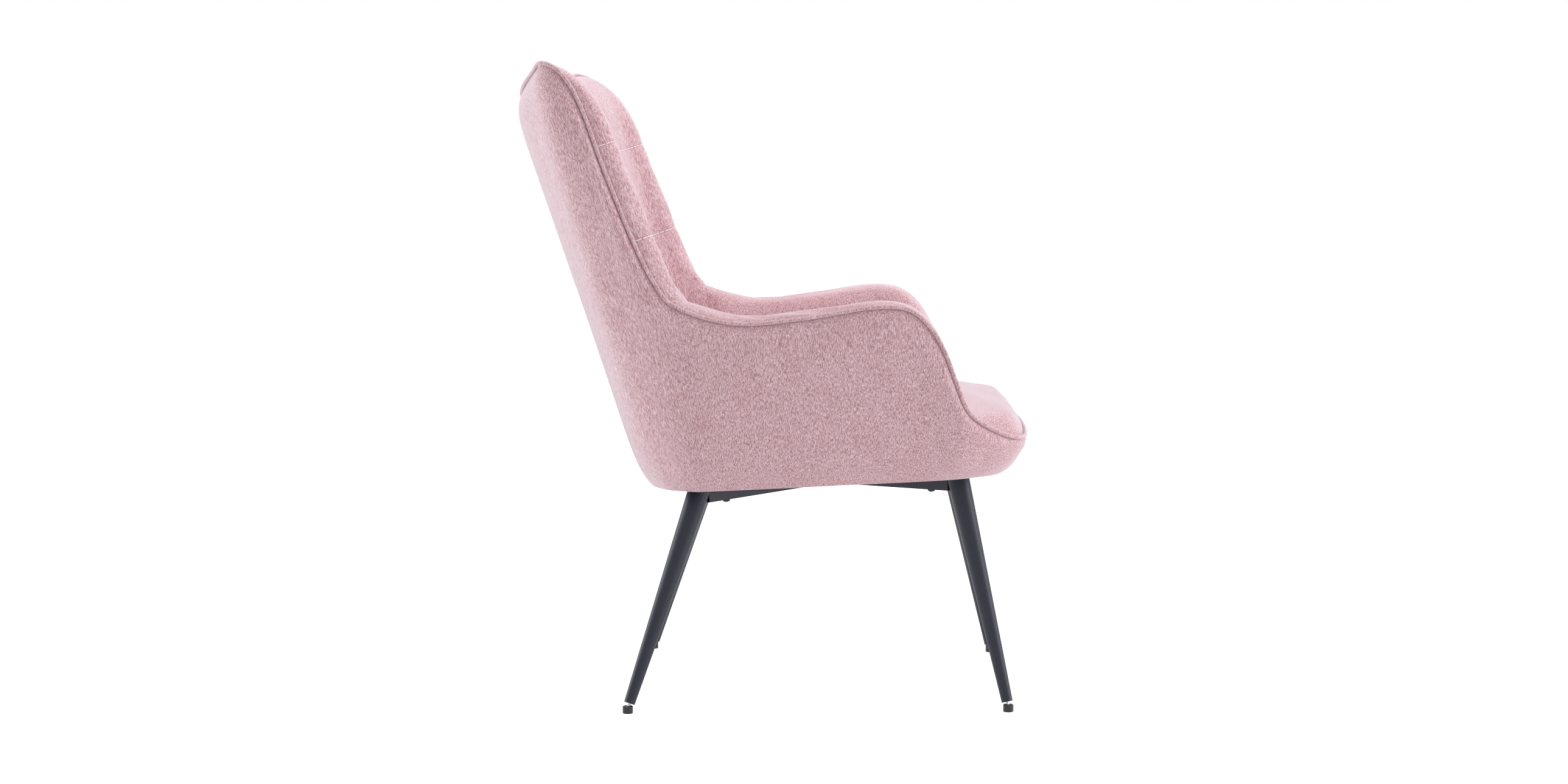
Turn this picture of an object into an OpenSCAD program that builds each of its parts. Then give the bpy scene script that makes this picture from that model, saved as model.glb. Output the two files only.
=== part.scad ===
// High-back upholstered armchair on a steel underframe.
// Millimetres, +Z up, the sitter faces -Y and the sitter's left is +X.
// The origin is on the floor, under the middle of the overall box.
//
// The upholstered shell is drawn from two lines that run round half of it:
// the rim, where the outer covers end under the seat, and the edge, where the
// welt lies. Both have the same numbered knots: 0 at the middle of the back,
// SEAM at the side seam and LAST at the middle of the seat's front.

/* [Shell] */
// Height of the two top corners of the back
ear_z = 946; // [860:1:1000]
// Half the distance between those corners
ear_x = 285; // [260:1:300]
// Distance behind the feet's middle at those corners
ear_y = 400; // [370:1:420]
// Distance from those corners forward to the wings' feet
wing_run = 195; // [185:1:205]
// How far the middle of the top edge lies below its corners
top_dip = 42; // [20:1:60]
// How far the middle of the top edge lies behind its corners
top_sweep = 56; // [40:1:70]
// Height of the highest point of the arm's edge
arm_z = 596; // [570:1:620]
// Distance of that point before the feet's middle
arm_peak = 122; // [115:1:128]
// How far the arm's edge dips at its rear
arm_dip = 25; // [10:1:35]
// Half the width over the arms' edges
arm_x = 335; // [325:1:350]
// Height of the seat's front edge
seat_edge_z = 403; // [395:1:412]
// Height of the seat's crown
seat_crown_z = 466; // [460:1:474]
// How far the seat's crown falls toward the arms
seat_dome = 16; // [8:1:20]
// Distance of the seat's front edge before the feet's middle
seat_front_y = 310; // [302:1:320]
// Half the width of the rim under the seat
rim_x = 291; // [284:1:296]
// Distance of the rim's rear end behind the feet's middle
rim_rear_y = 261; // [255:1:266]
// Distance of the rim's front end before the feet's middle
rim_front_y = 286; // [280:1:292]
// Height of the rim between the feet
rim_z = 335; // [330:1:340]
// Rise of the rim toward the front, in degrees
rim_rake = 2.9; // [2:0.1:3.5]

/* [Upholstery] */
// Thickness of the back at its middle
back_wall = 72; // [66:1:76]
// Thickness of the wings
wing_wall = 48; // [45:1:52]
// Thickness of the arms
arm_wall = 57; // [52:1:62]
// Thickness of the inner covers
cover_t = 2; // [1.5:0.1:2.5]
// Thickness of the outer covers at their edges
outer_t = 3; // [2.5:0.1:3.5]
// How far the outer back stands out between its edges
back_bulge = 20; // [14:1:24]
// How far the outer sides stand out between their edges
side_bulge = 13; // [8:1:16]
// How far the front stands out between its edges
front_bulge = 7; // [4:1:10]
// Radius of the welt
welt_r = 3; // [2.5:0.1:3.5]
// How far the welt stands out over the edge
welt_out = 1.5; // [1:0.1:2]
// Depth of the arms' crown over the edge
arm_crown = 11; // [8:1:14]
// Depth of the wings' crown before the edge
wing_crown = 28; // [20:1:30]
// Depth of the crown along the top of the back
top_crown = 8; // [6:1:12]

/* [Shell frame] */
// Outer radius of the steel bars inside the shell
tube_r = 8; // [6:0.5:8]
// Thickness of the steel tabs the bars stand on
tab_t = 3; // [2:0.5:3]
// Thickness of the plywood seat board
board_t = 15; // [12:1:18]
// Thickness of the dust cover
dust_t = 1; // [0.6:0.1:1.4]
// Thickness of the sheet that backs the back foam
sheet_t = 0.8; // [0.5:0.1:0.8]

/* [Legs] */
// Half the distance between the front feet
foot_front_x = 264.5; // [250:0.5:280]
// Half the distance between the rear feet
foot_rear_x = 289; // [270:0.5:300]
// Distance of the feet from their middle
foot_y = 279.5; // [265:0.5:290]
// Half the distance between the front legs' tops
top_front_x = 200; // [185:1:210]
// Half the distance between the rear legs' tops
top_rear_x = 204; // [185:1:212]
// Distance of the front legs' tops from the feet's middle
top_front_y = 205; // [190:1:212]
// Distance of the rear legs' tops from the feet's middle
top_rear_y = 176; // [165:1:185]
// Outer radius of a leg at its lower end
leg_r_low = 8.25; // [8:0.25:9]
// Outer radius of a leg at its top
leg_r_top = 17; // [15:0.5:18]
// Wall of the leg tubes
leg_wall = 1.5; // [1:0.1:2]
// Width of the cross bars
bar_w = 30; // [26:1:34]
// Height of the cross bars
bar_h = 25; // [20:1:28]
// Wall of the cross bars
bar_wall = 2; // [1.5:0.1:3]

/* [Glides] */
// Radius of a glide's pad
pad_r = 7.6; // [7.4:0.1:9]
// Height of a glide's pad
pad_h = 11; // [10.5:0.5:12]
// Radius of the ball on a glide's stud
ball_r = 4; // [3.8:0.1:4.2]
// Radius of a glide's threaded stud
stud_r = 4; // [3.5:0.1:4.2]
// Radius of the stud's neck over the ball
neck_r = 2.2; // [1.8:0.1:2.4]
// Length of the stud inside the leg
stud_len = 22; // [18:1:28]

/* [Fasteners] */
// Radius of the bolts that hold the underframe
bolt_r = 3; // [2.5:0.5:4]
// Radius of those bolts' heads
bolt_head_r = 6; // [5.5:0.5:7]
// Radius of their washers
washer_r = 7.3; // [7:0.1:9]
// Distance of each bolt from the axis of its leg
bolt_from_leg = 58; // [50:1:80]

/* [Hidden] */
LAST = 22;
SEAM = 9;
ARM_END = 17;
GAP = 0.3;
SLACK = 0.9;
SEAT_FIT = 2;
WELD_GAP = 0.05;
BALL_FIT = 0.05;
BIG = 400;
$fn = 48;

PINK = "#c79fa6";
STEEL_BLACK = "#2b2b31";
PLASTIC = "#1d1d21";
FOAM = "#e9dfb8";
PLY = "#c9a877";
ZINC = "#b9bcc0";

// ---- lines of the shell ----

// heights along the wing's and the arm front's edges, as shares of their drop
junction_y = ear_y - wing_run;
junction_z = arm_z - 2;
function wing(fy, fz, x) =
    [x, junction_y + fy * (ear_y - junction_y), junction_z + fz * (ear_z - junction_z)];
arm_peak_y = -arm_peak;
corner_y = -(seat_front_y - 12);
function slope(fy, fz, x) =
    [x, arm_peak_y + fy * (corner_y - arm_peak_y), arm_z - 2 + fz * (seat_edge_z - arm_z + 2)];

EDGE = [
    [0, ear_y + top_sweep, ear_z - top_dip],
    [0.53 * ear_x, ear_y + 0.73 * top_sweep, ear_z - 0.74 * top_dip],
    [0.84 * ear_x, ear_y + 0.29 * top_sweep, ear_z - 0.26 * top_dip],
    [ear_x, ear_y, ear_z],
    wing(0.856, 0.957, ear_x + 13),
    wing(0.718, 0.827, ear_x + 17),
    wing(0.549, 0.571, ear_x + 20),
    wing(0.333, 0.276, ear_x + 24),
    wing(0.164, 0.094, ear_x + 29),
    [arm_x - 18, junction_y, junction_z],
    [arm_x - 11, 120, arm_z - arm_dip],
    [arm_x - 5, 20, arm_z - 0.68 * arm_dip],
    [arm_x, -70, arm_z - 2],
    [arm_x, arm_peak_y, arm_z - 2],
    slope(0.170, 0.100, arm_x - 1),
    slope(0.312, 0.298, arm_x - 4),
    slope(0.426, 0.571, arm_x - 9),
    slope(0.517, 0.770, arm_x - 14),
    slope(0.659, 0.885, arm_x - 27),
    slope(0.864, 0.979, arm_x - 47),
    [arm_x - 77, corner_y, seat_edge_z],
    [0.45 * arm_x, -(seat_front_y - 3), seat_edge_z],
    [0, -seat_front_y, seat_edge_z]];

RIM_PLAN = [
    [0, rim_rear_y], [0.38 * rim_x, 0.985 * rim_rear_y], [0.62 * rim_x, 0.946 * rim_rear_y],
    [0.76 * rim_x, 0.889 * rim_rear_y], [0.84 * rim_x, 0.843 * rim_rear_y],
    [0.89 * rim_x, 0.797 * rim_rear_y], [0.93 * rim_x, 0.751 * rim_rear_y],
    [0.955 * rim_x, 0.713 * rim_rear_y], [0.972 * rim_x, 0.682 * rim_rear_y],
    [0.985 * rim_x, 0.651 * rim_rear_y], [0.997 * rim_x, 0.364 * rim_rear_y],
    [rim_x, 0.019 * rim_rear_y], [rim_x, -0.28 * rim_front_y], [rim_x, -0.437 * rim_front_y],
    [0.997 * rim_x, -0.517 * rim_front_y], [0.993 * rim_x, -0.587 * rim_front_y],
    [0.985 * rim_x, -0.65 * rim_front_y], [0.972 * rim_x, -0.71 * rim_front_y],
    [0.945 * rim_x, -0.769 * rim_front_y], [0.885 * rim_x, -0.871 * rim_front_y],
    [0.78 * rim_x, -0.934 * rim_front_y], [0.45 * rim_x, -0.983 * rim_front_y],
    [0, -rim_front_y]];
function rim_height(y) = rim_z - y * tan(rim_rake);
RIM = [for (p = RIM_PLAN) [p.x, p.y, rim_height(p.y)]];

function flip(p) = [-p.x, p.y, p.z];
function unit(v) = v / norm(v);
function mix(a, b, t) = a + (b - a) * t;

// a smooth line through the knots, mirrored past both of its ends
function knot(k, i) = i < 0 ? flip(k[-i]) : i > LAST ? flip(k[2 * LAST - i]) : k[i];
function spline(k, u) =
    let (i = min(floor(u), LAST - 1), t = u - i,
        a = knot(k, i - 1), b = knot(k, i), c = knot(k, i + 1), d = knot(k, i + 2))
    0.5 * (2 * b + (c - a) * t + (2 * a - 5 * b + 4 * c - d) * t * t
        + (3 * b - a - 3 * c + d) * t * t * t);

// outward across the wall, level, and along the wall past the edge
function middle(u) = u < 0 ? flip(middle(-u)) : u > LAST ? flip(middle(2 * LAST - u))
    : (spline(RIM, u) + spline(EDGE, u)) / 2;
function outward(u) =
    let (t = middle(u + 0.2) - middle(u - 0.2)) unit([-t.y, t.x, 0]);
// the way into the wall, turned more gently than its outer side at the corners
function inward(u) = -unit(outward(max(u - 1, 0)) + 2 * outward(u) + outward(min(u + 1, LAST)));
function edge_run(u) = unit(spline(EDGE, min(u + 0.1, LAST)) - spline(EDGE, max(u - 0.1, 0)));
function past_edge(u) = unit(cross(edge_run(u), outward(u)));

// wall sizes along the shell, by knot
function wall(u) = lookup(u, [[0, back_wall], [1.2, back_wall], [3, wing_wall + 10],
    [4, wing_wall + 4], [5.5, wing_wall], [7.5, wing_wall], [SEAM, arm_wall], [LAST, arm_wall]]);
function crown(u) = lookup(u, [[0, top_crown], [3, top_crown], [4, top_crown + 2],
    [5, wing_crown - 4], [6, wing_crown], [7, wing_crown], [8.3, arm_crown + 6], [10.5, arm_crown + 3],
    [12, arm_crown], [15, arm_crown], [ARM_END - 0.4, 3], [LAST, 3]]);
function bulge(u) = lookup(u, [[0, back_bulge], [3, back_bulge], [SEAM, side_bulge],
    [17, side_bulge], [LAST, front_bulge]]);
function fullness(u) = lookup(u, [[0, 16], [4, 12], [SEAM, 6], [16, 5], [19, 4], [LAST, 4]]);
function sag(u) = lookup(u, [[0, 0.62], [SEAM, 0.9], [LAST, 1]]);

// points of the shell: v runs from the rim at 0 to the edge at 1, and d is a
// depth inward from the straight line between them
function inside(u, v, d) = u < 0 ? flip(inside(-u, v, d))
    : u > LAST ? flip(inside(2 * LAST - u, v, d))
    : mix(spline(RIM, u), spline(EDGE, u), v) + (d > 0 ? inward(u) : -outward(u)) * d;
function skin(u, v) = u < 0 ? flip(skin(-u, v)) : u > LAST ? flip(skin(2 * LAST - u, v))
    : inside(u, v, -bulge(u) * mix(sag(u), 1, v) * (1 - pow(abs(2 * v - 1), fullness(u))));
function past(u, c, d) = u < 0 ? flip(past(-u, c, d)) : u > LAST ? flip(past(2 * LAST - u, c, d))
    : spline(EDGE, u) + past_edge(u) * c + (d > 0 ? inward(u) : -outward(u)) * d;
function wall_height(u) = let (f = u > LAST ? 2 * LAST - u : abs(u))
    spline(EDGE, f).z - spline(RIM, f).z;
function folded(u) = u > LAST ? 2 * LAST - u : abs(u);

// ---- helpers for closed solids ----

// a closed slab between two faces given as equal grids of points
module slab(a, b) {
    n = len(a);
    m = len(a[0]);
    function id(s, i, j) = (s * n + i) * m + j;
    function quad(p, q, r, s) = [[p, q, r], [p, r, s]];
    points = [for (g = [a, b]) for (line = g) for (p = line) p];
    faces = [
        for (i = [0:n - 2]) for (j = [0:m - 2])
            each quad(id(0, i, j), id(0, i + 1, j), id(0, i + 1, j + 1), id(0, i, j + 1)),
        for (i = [0:n - 2]) for (j = [0:m - 2])
            each quad(id(1, i, j + 1), id(1, i + 1, j + 1), id(1, i + 1, j), id(1, i, j)),
        for (i = [0:n - 2])
            each quad(id(0, i, 0), id(1, i, 0), id(1, i + 1, 0), id(0, i + 1, 0)),
        for (i = [0:n - 2])
            each quad(id(0, i + 1, m - 1), id(1, i + 1, m - 1), id(1, i, m - 1), id(0, i, m - 1)),
        for (j = [0:m - 2])
            each quad(id(0, 0, j + 1), id(1, 0, j + 1), id(1, 0, j), id(0, 0, j)),
        for (j = [0:m - 2])
            each quad(id(0, n - 1, j), id(1, n - 1, j), id(1, n - 1, j + 1), id(0, n - 1, j + 1))];
    polyhedron(points, faces, convexity = 10);
}

// a round bar along a list of points; each side vector sets where its ring starts
module bar_along(path, sides, r, n) {
    last = len(path) - 1;
    rings = [for (i = [0:last])
        let (t = unit(path[min(i + 1, last)] - path[max(i - 1, 0)]),
            a = unit(sides[i] - t * (sides[i] * t)), b = cross(t, a))
        for (k = [0:n - 1]) path[i] + r * (cos(360 * k / n) * a + sin(360 * k / n) * b)];
    faces = [
        [for (k = [0:n - 1]) k],
        for (i = [0:last - 1]) for (k = [0:n - 1])
            let (p = i * n + k, q = i * n + (k + 1) % n)
            each [[p, p + n, q + n], [p, q + n, q]],
        [for (k = [n - 1:-1:0]) last * n + k]];
    polyhedron(rings, faces, convexity = 10);
}

function steps(a, b, n) = [for (i = [0:n]) a + (b - a) * i / n];

// everything is drawn about the feet's middle and moved onto the box's middle
back_most = max([for (v = steps(0.6, 1, 20)) skin(0, v).y]);
front_most = -(seat_front_y + welt_out + welt_r);
module placed() translate([0, -(back_most + front_most) / 2, 0]) children();

// ---- outer covers ----

module outer_cover(u0, u1, columns, rows) {
    us = steps(u0, u1, columns);
    vs = [for (v = steps(0, 1, rows)) (1 - cos(180 * v)) / 2 * 0.7 + v * 0.3];
    slab([for (u = us) [for (v = vs) skin(u, v)]],
        [for (u = us) [for (v = vs) inside(u, v, outer_t)]]);
}
module back_cover_outer() {
    color(PINK) placed() outer_cover(-SEAM + 0.01, SEAM - 0.01, 32, 12);
}
module side_cover_outer() {
    color(PINK) placed() outer_cover(SEAM + 0.01, 2 * LAST - SEAM - 0.01, 52, 8);
}

// ---- inner foam and covers ----

tube_d = outer_t + tube_r + 4.5;
sheet_d = tube_d + tube_r + 1.6;
foam_back = sheet_d + sheet_t + 3 * GAP;
frame_drop = 6;
board_lift = 2;
board_top = board_lift + board_t;
pad_lift = board_top + 5.5;
function low_v(u) = pad_lift / wall_height(u);

// a point past the edge that then drops down the wall
function crest(u, c, d, drop) = u < 0 ? flip(crest(-u, c, d, drop))
    : u > LAST ? flip(crest(2 * LAST - u, c, d, drop))
    : past(u, c, d) - unit(spline(EDGE, u) - spline(RIM, u)) * drop;
// depth at which the inner covers start at the edge
function edge_in(u) = outer_t + lookup(u, [[13, SLACK], [15, 2.5]]);
// how far the inner side of the wall lies below its edge at the ears
function fall(u) = lookup(u, 
    [[0, 0], [1.2, 4], [2.2, 22], [3, 46], [4, 40], [5, 14], [6, 2], [7, 0]]);
function top_v(u) = 1 - (fall(u) + 22) / wall_height(u);
// the inner face: over the crown from the edge, then down the inner wall
function inner_face(u, skin_t) =
    let (f = folded(u), w = wall(f) - skin_t, h = crown(f) - skin_t, a0 = edge_in(f) + skin_t)
    concat(
        [for (k = steps(0, 1, 6)) let (s = 180 * k, share = (1 - cos(s)) / 2)
            crest(u, max(h, 0.4) * pow(sin(s), 0.8) + 0.4, mix(a0, w, share),
                fall(f) * share * share + 0.7 * skin_t * share)],
        [for (v = steps(top_v(f), low_v(f), 8)) inside(u, v, w)]);
// the frame side of the foam: level under the crown, then down beside the frame
function frame_face(u) =
    let (f = folded(u))
    concat(
        [for (k = steps(0, 1, 6)) past(u, -frame_drop,
            mix(edge_in(f) + cover_t + SLACK, foam_back, k))],
        [for (v = steps(top_v(f), low_v(f), 8)) inside(u, v, foam_back)]);

// the foam lies deeper under its cover where the ears turn
function ease(u) = lookup(u, [[1.5, 0], [2.3, 2], [5, 2], [6, 0]]);
pad_columns = 32;
pad_step = 2 * (SEAM - 0.02) / pad_columns;
module pad(u0, u1, columns) {
    us = steps(u0, u1, columns);
    slab([for (u = us) inner_face(u, cover_t + SLACK + ease(folded(u)))],
        [for (u = us) frame_face(u)]);
}
module pad_cover(u0, u1, columns) {
    us = steps(u0, u1, columns);
    slab([for (u = us) inner_face(u, 0)], [for (u = us) inner_face(u, cover_t)]);
}
module back_foam() {
    color(FOAM) placed() pad(-SEAM + 0.02, SEAM - 0.02, pad_columns);
}
module back_cover_inner() {
    color(PINK) placed() pad_cover(-SEAM + 0.02, SEAM - 0.02, pad_columns);
}
module arm_foam() {
    pad(SEAM + 0.02, ARM_END, 16);
}
module arm_foam_left() {
    color(FOAM) placed() arm_foam();
}
module arm_foam_right() {
    color(FOAM) placed() mirror([1, 0, 0]) arm_foam();
}
module arm_cover_left() {
    color(PINK) placed() pad_cover(SEAM + 0.02, ARM_END, 16);
}
module arm_cover_right() {
    color(PINK) placed() mirror([1, 0, 0]) pad_cover(SEAM + 0.02, ARM_END, 16);
}

// ---- seat ----

seat_middle = [0, -150, 0];
seat_side_z = 436;
seat_roll = 150;
side_roll = 60;
// the seat's outline: along the edge at the front, inside the arms and the back
function seat_brim(u, z_low) =
    let (f = folded(u), front = f > ARM_END + 0.1,
        v = z_low ? board_top / wall_height(f)
            : front ? 1 : (seat_side_z - spline(RIM, f).z) / wall_height(f),
        p = inside(u, v, (front ? outer_t : wall(f)) + SEAT_FIT))
    z_low ? [p.x, p.y, rim_height(p.y) + (board_top + GAP) / cos(rim_rake)] : p;
function seat_turn() = concat(steps(LAST, ARM_END + 0.15, 12), steps(ARM_END + 0.06, 13, 8),
    steps(12.2, 10.2, 2), steps(9.3, 7, 6), steps(6.2, 1, 5));
function roll(t) = pow(1 - pow(1 - min(t, 1), 2.4), 0.75);
RINGS = [1, 0.975, 0.94, 0.89, 0.8, 0.66, 0.42, 0.05];
function seat_top(u, s, lift) =
    let (b = seat_brim(u, false), reach = (1 - s) * norm([b.x, b.y - seat_middle.y]),
        len = folded(u) > ARM_END ? seat_roll : side_roll)
    [b.x * s, mix(seat_middle.y, b.y, s),
        mix(b.z, seat_crown_z - cover_t - SLACK - seat_dome * pow(b.x * s / arm_x, 2),
            roll(reach / len)) + lift];
function seat_round() = let (h = seat_turn()) concat([for (u = h) u], [0],
    [for (i = [len(h) - 1:-1:1]) -h[i]]);
module seat_foam() {
    color(FOAM) placed() stack_solid(concat(
        [for (s = [for (i = [len(RINGS) - 1:-1:0]) RINGS[i]])
            [for (u = seat_round()) seat_top(u, s, 0)]],
        [[for (u = seat_round()) seat_brim(u, true)]]), len(RINGS));
}
module seat_cover() {
    color(PINK) placed() stack_solid(concat(
        [for (s = [for (i = [len(RINGS) - 1:-1:0]) RINGS[i]])
            [for (u = seat_round()) seat_top(u, s, cover_t + SLACK)]],
        [for (s = RINGS) [for (u = seat_round()) seat_top(u, s, SLACK)]]), len(RINGS));
}
// a closed solid through a list of rings, capped at both ends; its faces are
// split the other way from the ring called turn onward
module stack_solid(rings, turn) {
    n = len(rings[0]);
    last = len(rings) - 1;
    points = [for (ring = rings) for (p = ring) p];
    faces = [
        [for (k = [n - 1:-1:0]) k],
        for (i = [0:last - 1]) for (k = [0:n - 1])
            let (p = i * n + k, q = i * n + (k + 1) % n)
            each i < turn ? [[p, q + n, p + n], [p, q, q + n]]
                : [[p, q, p + n], [q, q + n, p + n]],
        [for (k = [0:n - 1]) last * n + k]];
    polyhedron(points, faces, convexity = 10);
}

// ---- welts ----

module welt(u0, u1, columns) {
    us = steps(u0, u1, columns);
    bar_along([for (u = us) past(u, welt_r + GAP, -welt_out)],
        [for (u = us) let (p = past(u, 0, -1) - past(u, 0, 0)) p], welt_r, 6);
}
module welt_back() {
    color(PINK) placed() welt(-SEAM + 0.02, SEAM - 0.02, 44);
}
module welt_front() {
    color(PINK) placed() welt(SEAM + 0.02, 2 * LAST - SEAM - 0.02, 64);
}

// ---- seat board and what is fixed to it ----

// heights over the rim's plane
dust_z = board_lift - GAP - dust_t;
frame_top = dust_z - GAP;
module on_rim() translate([0, 0, rim_z]) rotate([-rim_rake, 0, 0]) children();
function rim_plan(p) = [p.x, p.y * cos(rim_rake) - (p.z - rim_z) * sin(rim_rake)];
function outline(inset) = [for (u = steps(-LAST, LAST, 72)) if (u < LAST)
    rim_plan(inside(u, 0, inset))];

TAB_KNOTS = [6, 15];
TAB = [26, 34];
SCREWS_AT = [-8, 8];
screw_r = 2;
screw_in = 15;
function tab_foot(u) = rim_plan(inside(u, (board_top + tab_t) / wall_height(u), tube_d));
// the frame of one tab: its origin at the tube's foot, +X outward
module at_tab(u, side) {
    n = outward(u);
    mirror([side, 0, 0]) translate(tab_foot(u)) rotate(atan2(n.y, n.x)) children();
}
module at_tab_screws(u, side)
    at_tab(u, side) for (y = SCREWS_AT) translate([-screw_in, y, 0]) children();
module every_tab() for (u = TAB_KNOTS) for (side = [0, 1]) {
    $u = u;
    $side = side;
    children();
}

module seat_board() {
    color(PLY) placed() on_rim() translate([0, 0, board_lift]) difference() {
        linear_extrude(board_t) polygon(outline(outer_t + GAP + 0.4));
        at_bolts() translate([0, 0, -1]) cylinder(r = nut_r + 0.1, h = board_t + 2);
        at_bolts() translate([0, 0, board_t - nut_flange_t - 0.1])
            cylinder(r = nut_flange_r + 0.2, h = nut_flange_t + 1);
        every_tab() at_tab_screws($u, $side) translate([0, 0, board_t - screw_len])
            cylinder(r = screw_r + 0.05, h = screw_len + 1);
    }
}
module dust_cover() {
    color(PLASTIC) placed() on_rim() translate([0, 0, dust_z]) difference() {
        linear_extrude(dust_t) polygon(outline(outer_t + GAP + 1.4));
        at_bolts() translate([0, 0, -1]) cylinder(r = bolt_r + 0.25, h = dust_t + 2);
    }
}
module frame_tabs() {
    color(ZINC) placed() on_rim() translate([0, 0, board_top + WELD_GAP])
        every_tab() difference() {
            intersection() {
                at_tab($u, $side) translate([tube_r - TAB.y, -TAB.x / 2, 0])
                    cube([TAB.y, TAB.x, tab_t]);
                linear_extrude(tab_t) polygon(outline(outer_t + GAP + 0.4));
            }
            at_tab_screws($u, $side) translate([0, 0, -1])
                cylinder(r = screw_r + 0.2, h = tab_t + 2);
        }
}
screw_len = 11;
screw_head_r = 3.6;
screw_head_h = 1.8;
module tab_screws() {
    color(ZINC) placed() on_rim() translate([0, 0, board_top]) every_tab()
        at_tab_screws($u, $side) {
            translate([0, 0, -screw_len + 0.5]) cylinder(r = screw_r, h = screw_len + tab_t);
            translate([0, 0, tab_t + 2 * WELD_GAP])
                cylinder(r = screw_head_r, h = screw_head_h);
        }
}

// ---- steel tubes inside the shell ----

function bar_point(u, drop) = inside(u, 1 - drop / wall_height(u), tube_d);
// how far the back bar lies under the edge, measured down the wall; over the
// wings it grows with their height, because their edge is then steeper
function bar_drop(u) = let (tall = pow((ear_z - arm_z) / (1.8 * wing_run), 2)) lookup(u,
    [[0, 20], [2.2, 24], [3, 40], [4, 78 * tall], [5, 132 * tall], [5.6, 160 * tall]]);
back_path_up = [for (v = steps((board_top - 4) / wall_height(TAB_KNOTS[0]), 0.58, 5))
    inside(TAB_KNOTS[0], v, tube_d)];
back_path_over = [for (u = steps(5.6, 0, 16)) bar_point(u, bar_drop(u))];
back_half = concat(back_path_up, back_path_over);
back_path = concat(back_half, [for (i = [len(back_half) - 2:-1:0]) flip(back_half[i])]);
module above_board() difference() {
    children();
    on_rim() translate([-BIG, -BIG, board_top + tab_t + 2 * WELD_GAP - BIG])
        cube([2 * BIG, 2 * BIG, BIG]);
}
module back_tube(r) bar_along(back_path, [for (p = back_path) [1, 0.2, 0.3]], r, 10);
module back_frame_tube() {
    color(STEEL_BLACK) placed() above_board() back_tube(tube_r);
}
// the arm bar runs level from the back bar to the side seam, then along the arm
arm_bar_z = arm_z - 30;
function level_point(u) = bar_point(u, spline(EDGE, u).z - arm_bar_z);
arm_path = concat([for (u = steps(TAB_KNOTS[0] + 0.25, SEAM, 4)) level_point(u)],
    [for (u = steps(9.8, 13.4, 8)) bar_point(u, 22)],
    [for (v = steps(0.78, (board_top - 4) / wall_height(TAB_KNOTS[1]), 4))
        inside(TAB_KNOTS[1], v, tube_d)]);
module arm_tube() difference() {
    above_board() bar_along(arm_path, [for (p = arm_path) [1, 0.1, 0.1]], tube_r, 10);
    back_tube(tube_r + 2 * GAP);
}
module arm_frame_tube_left() {
    color(STEEL_BLACK) placed() arm_tube();
}
module arm_frame_tube_right() {
    color(STEEL_BLACK) placed() mirror([1, 0, 0]) arm_tube();
}
sheet_columns = 22;
sheet_low_v = 0.2;
module back_support_sheet() {
    us = [for (i = steps(-0.5, 0.5, sheet_columns)) i * sheet_columns * pad_step];
    color(PLASTIC) placed() slab(
        [for (u = us) [for (v = steps(top_v(folded(u)) - 0.03, sheet_low_v, 8))
            inside(u, v, sheet_d + sheet_t)]],
        [for (u = us) [for (v = steps(top_v(folded(u)) - 0.03, sheet_low_v, 8))
            inside(u, v, sheet_d)]]);
}

// ---- underframe ----

rim_up = [0, sin(rim_rake), cos(rim_rake)];
pad_top_over_ball = 3.5;
ball_z = pad_h - pad_top_over_ball;
end_over_ball = 7;
// each leg by its side, +1 for left, and its end, -1 for front
function foot(side, end) = [side * (end < 0 ? foot_front_x : foot_rear_x), end * foot_y, ball_z];
function leg_top(side, end) = let (y = end < 0 ? -top_front_y : top_rear_y)
    [side * (end < 0 ? top_front_x : top_rear_x), y, rim_height(y)];
function leg_axis(side, end) = unit(leg_top(side, end) - foot(side, end));
function leg_run(side, end) = norm(leg_top(side, end) - foot(side, end));
function end_at(side, end) = end_over_ball / leg_axis(side, end).z;
function lean(side, end) = acos(leg_axis(side, end).z);
module on_leg(side, end) {
    a = leg_axis(side, end);
    translate(foot(side, end)) rotate([0, lean(side, end), atan2(a.y, a.x)]) children();
}
module leg_cone(side, end, out, extra) {
    e = end_at(side, end);
    long = leg_run(side, end) - e;
    grow = (leg_r_top - leg_r_low) / long;
    on_leg(side, end) translate([0, 0, e - extra]) cylinder(r1 = leg_r_low + out - grow * extra,
        r2 = leg_r_top + out + grow * 15, h = long + 15 + extra);
}
module leg(side, end) {
    color(STEEL_BLACK) placed() difference() {
        leg_cone(side, end, 0, 0);
        leg_cone(side, end, -leg_wall, 1);
        on_rim() translate([-BIG, -BIG, frame_top]) cube([2 * BIG, 2 * BIG, BIG]);
    }
}
module leg_front_left() leg(1, -1);
module leg_front_right() leg(-1, -1);
module leg_rear_left() leg(1, 1);
module leg_rear_right() leg(-1, 1);

bar_level = frame_top - bar_h / 2;
// where a leg's axis passes the bars' middle height, in the rim's plan
function bar_end(side, end) = let (f = foot(side, end), a = leg_axis(side, end),
        h = bar_level + rim_z * rim_up.z - f * rim_up)
    rim_plan(f + a * (h / (a * rim_up)));
bar_start = sqrt(max(leg_r_top * leg_r_top - bar_w * bar_w / 4, 0)) + 1.2;
function heading(p, q) = atan2(q.y - p.y, q.x - p.x);
module bar_box(p, q, start, cut, in) {
    translate([p.x, p.y, frame_top - bar_h]) rotate(heading(p, q))
        translate([start - in, -bar_w / 2 + in, in])
        cube([norm(q - p) - start - cut + 2 * in, bar_w - 2 * in, bar_h - 2 * in]);
}
module long_bar(in) bar_box(bar_end(1, -1), bar_end(-1, 1), bar_start, bar_start, in);
module bolt_holes() at_bolts() translate([0, 0, frame_top - bar_h - 1])
    cylinder(r = bolt_r + 0.25, h = bar_h + 2);
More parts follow.
